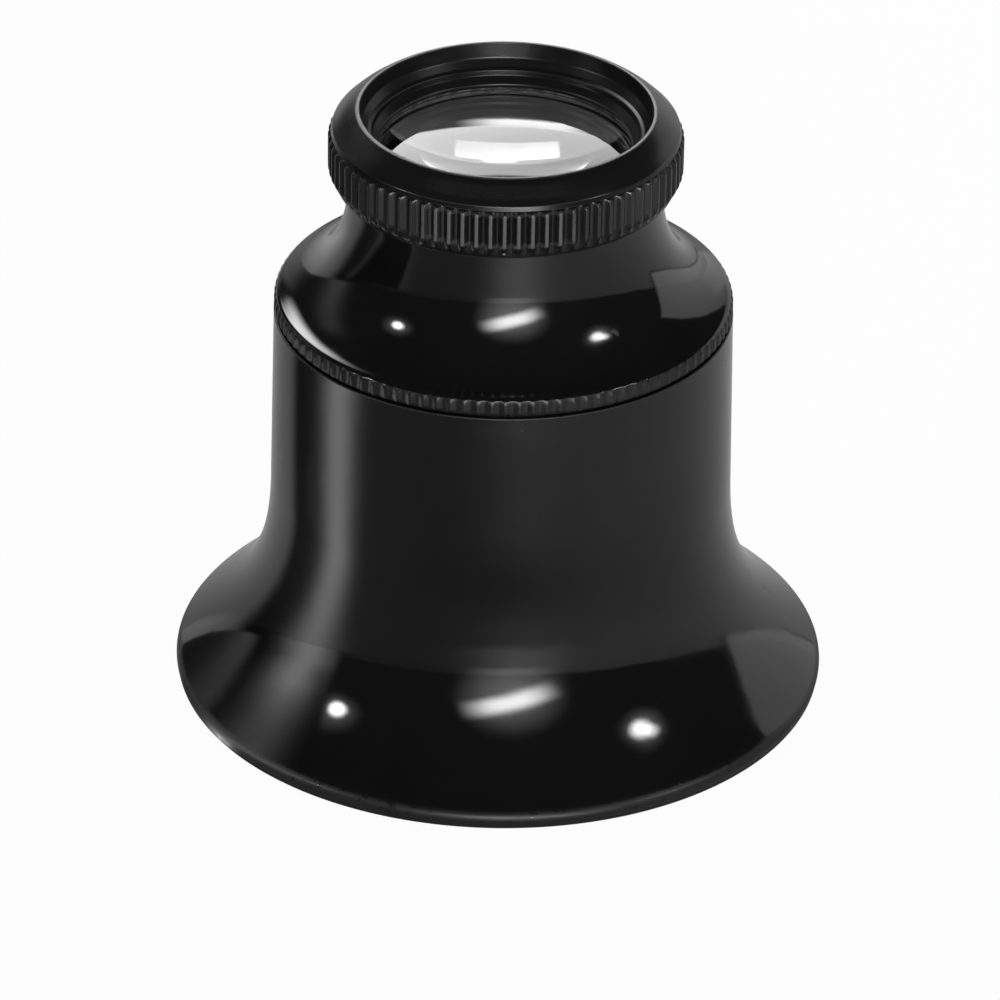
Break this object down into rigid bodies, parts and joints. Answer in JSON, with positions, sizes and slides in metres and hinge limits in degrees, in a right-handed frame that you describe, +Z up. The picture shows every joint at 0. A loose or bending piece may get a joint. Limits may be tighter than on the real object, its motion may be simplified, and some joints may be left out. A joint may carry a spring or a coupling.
{
  "type": "watchmaker eye loupe",
  "caption": "Bell-shaped eye cup with a screwed-in lens housing and a knurled screw ring that holds the front lens; double-lens magnifier worn in the eye socket.",
  "frame": {"origin": "centre of the eye cup's rim, in the plane that the loupe stands on", "axes": "+Z up the optical axis, from the eye cup's rim to the knurled ring; X and Y across, with the snap ring's gap towards +X"},
  "size_m": [0.0362, 0.0362, 0.0346],
  "materials": {
    "cup_plastic": "polished black moulding",
    "housing_plastic": "polished black moulding",
    "ring_plastic": "satin black",
    "lens_glass": "polished",
    "washer_nylon": "matt black",
    "blackened_metal": "matt black, against stray light",
    "spring_steel": "bright drawn wire"
  },
  "bodies": {
    "eye_cup": {"eye_cup": "cup_plastic"},
    "rear_optics": {"rear_lens": "lens_glass", "rear_lens_washer": "washer_nylon"},
    "lens_housing": {"lens_housing": "housing_plastic", "front_lens": "lens_glass", "light_stop": "blackened_metal", "rear_snap_ring": "spring_steel"},
    "slip_washer": {"front_slip_washer": "washer_nylon"},
    "knurled_ring": {"knurled_ring": "ring_plastic"}
  },
  "joints": [
    {"name": "housing_lift", "type": "slide", "parent": "eye_cup", "child": "rear_optics", "axis": [0, 0, 1], "range_m": [0, 0.004]},
    {"name": "housing_turn", "type": "hinge", "parent": "rear_optics", "child": "lens_housing", "pos_m": [0, 0, 0.02245], "axis": [0, 0, 1], "range_deg": [0, 1440]},
    {"name": "ring_lift", "type": "slide", "parent": "lens_housing", "child": "slip_washer", "axis": [0, 0, 1], "range_m": [0, 0.001]},
    {"name": "ring_turn", "type": "hinge", "parent": "slip_washer", "child": "knurled_ring", "pos_m": [0, 0, 0.03035], "axis": [0, 0, 1], "range_deg": [0, 900]}
  ],
  "couplings": [
    {"joint": "housing_lift", "follows": "housing_turn", "m_per_rad": 0.00015915},
    {"joint": "ring_lift", "follows": "ring_turn", "m_per_rad": 0.000063662}
  ]
}
